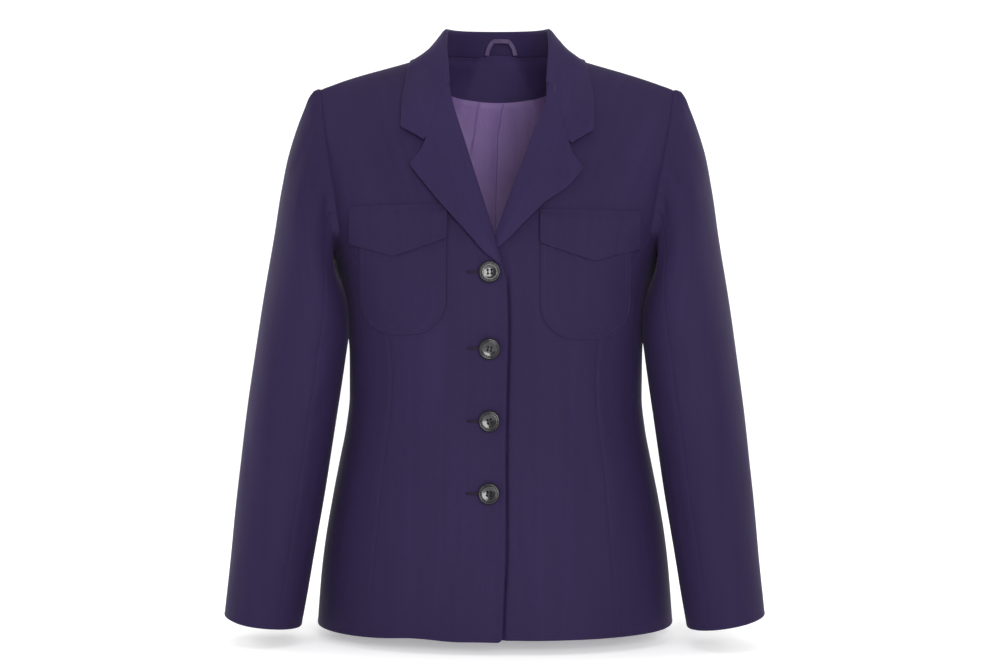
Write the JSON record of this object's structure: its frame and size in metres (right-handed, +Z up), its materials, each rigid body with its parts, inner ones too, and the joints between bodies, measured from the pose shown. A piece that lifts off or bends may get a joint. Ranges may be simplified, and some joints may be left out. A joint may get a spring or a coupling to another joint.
{
  "type": "blazer",
  "caption": "Women's single-breasted blazer with notched lapels, buttoned front, breast patch pockets with pointed flaps and long two-piece sleeves, filled out as worn.",
  "frame": {"origin": "midway between the two points where the neck meets the shoulder seams, on the line of the wearer's shoulders that hold the garment up", "axes": "+X towards the wearer's left, +Y from front to back, +Z up"},
  "size_m": [0.587, 0.2431, 0.6807],
  "materials": {
    "suiting": "dark aubergine plain suiting cloth, smooth, low sheen",
    "lining": "mauve satin lining",
    "button": "polished black resin"
  },
  "bodies": {
    "root": {"front_right": "suiting", "front_left": "suiting", "side_right": "suiting", "side_left": "suiting", "back": "suiting", "sleeve_top_right": "suiting", "sleeve_top_left": "suiting", "sleeve_under_right": "suiting", "sleeve_under_left": "suiting", "collar": "suiting", "lapel_right": "suiting", "lapel_left": "suiting", "facing_back_neck": "suiting", "pocket_right": "suiting", "pocket_left": "suiting", "flap_right": "suiting", "flap_left": "suiting", "lining_back": "lining", "hanger_loop": "lining", "button_1": "button", "button_2": "button", "button_3": "button", "button_4": "button"}
  },
  "joints": []
}
